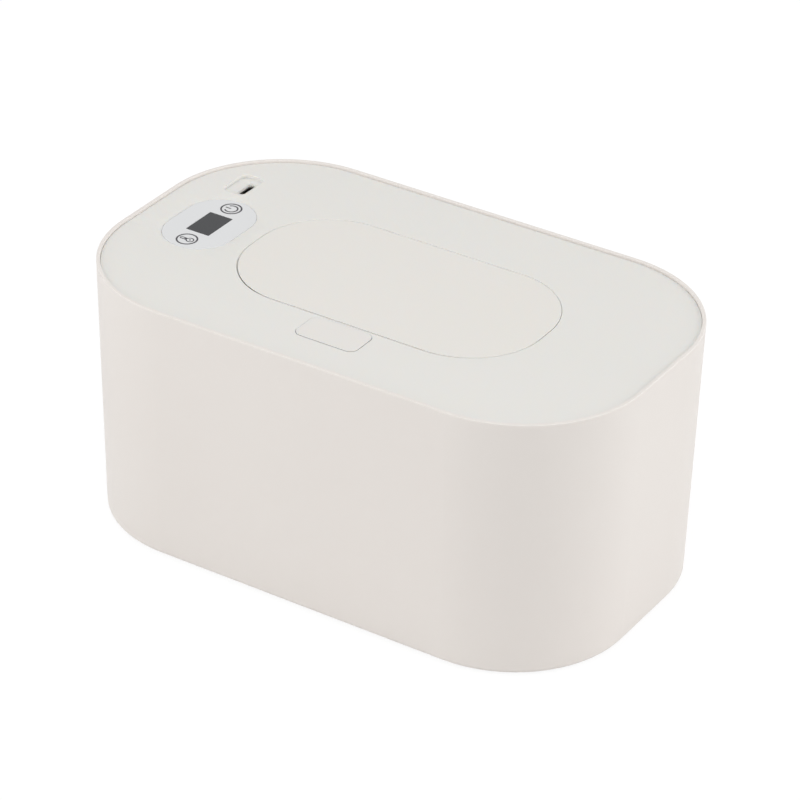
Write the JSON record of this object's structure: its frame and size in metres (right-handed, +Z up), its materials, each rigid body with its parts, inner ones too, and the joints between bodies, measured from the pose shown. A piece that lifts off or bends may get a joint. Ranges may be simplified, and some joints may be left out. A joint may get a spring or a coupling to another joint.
{
  "type": "baby wipe warmer",
  "caption": "Rounded tub that keeps a pack of wipes warm under a drop-in heated cover, with a flush sprung flap, a push-button latch and a small control panel.",
  "frame": {"origin": "centre of the footprint at the underside of the feet", "axes": "+X along the length, -Y the front with the release button, +Z up"},
  "size_m": [0.21, 0.1254, 0.1],
  "materials": {
    "tub_plastic": "satin moulded, warm white",
    "cover_plastic": "fine matt moulded, warm white",
    "panel_gloss": "glossy cool white",
    "window_smoke": "smoked, glossy",
    "black_plastic": "matt",
    "latch_plastic": "satin acetal",
    "board_laminate": "solder mask",
    "silicone": "soft, translucent white",
    "foot_rubber": "matt",
    "white_foam": "closed-cell foam",
    "film_amber": "polyimide film",
    "lead_insulation": "silicone insulation",
    "heater_aluminium": "brushed and anodised",
    "screw_steel": "zinc plated",
    "spring_steel": "drawn wire",
    "socket_steel": "satin nickel plated"
  },
  "bodies": {
    "tub": {"tub": "tub_plastic", "feet": "foot_rubber"},
    "cover": {"cover_shell": "cover_plastic", "cover_base": "cover_plastic", "cover_seal": "silicone", "cover_screws": "screw_steel", "touch_panel": "panel_gloss", "display_window": "window_smoke", "display_module": "black_plastic", "touch_springs": "spring_steel", "control_board": "board_laminate", "board_parts": "black_plastic", "board_screws": "screw_steel", "usb_shell": "socket_steel", "usb_tongue": "black_plastic", "lead_plugs": "latch_plastic", "heater_plate": "heater_aluminium", "heater_film": "film_amber", "heater_foam": "white_foam", "heater_screws": "screw_steel", "thermistor": "film_amber", "thermal_cutoff": "black_plastic", "heater_leads": "lead_insulation", "hinge_pin": "spring_steel", "hinge_spring": "spring_steel", "button_spring": "spring_steel"},
    "flap": {"flap_outer": "cover_plastic", "flap_inner": "cover_plastic", "flap_gasket": "silicone"},
    "button": {"release_button": "cover_plastic"},
    "latch": {"latch_slider": "latch_plastic"}
  },
  "joints": [
    {"name": "cover_lift", "type": "slide", "parent": "tub", "child": "cover", "axis": [0, 0, 1], "range_m": [0, 0.045]},
    {"name": "flap_hinge", "type": "hinge", "parent": "cover", "child": "flap", "pos_m": [0, 0.03755, 0.0943], "axis": [-1, 0, 0], "range_deg": [0, 95]},
    {"name": "button_press", "type": "slide", "parent": "cover", "child": "button", "axis": [0, 0, -1], "range_m": [0, 0.0018], "stiffness_N_per_m": 400, "springref_m": -0.001, "deforming": ["button_spring"]},
    {"name": "latch_slide", "type": "slide", "parent": "cover", "child": "latch", "axis": [0, -1, 0], "range_m": [0, 0.0018]}
  ],
  "couplings": [
    {"joint": "latch_slide", "follows": "button_press", "ratio": 1}
  ]
}
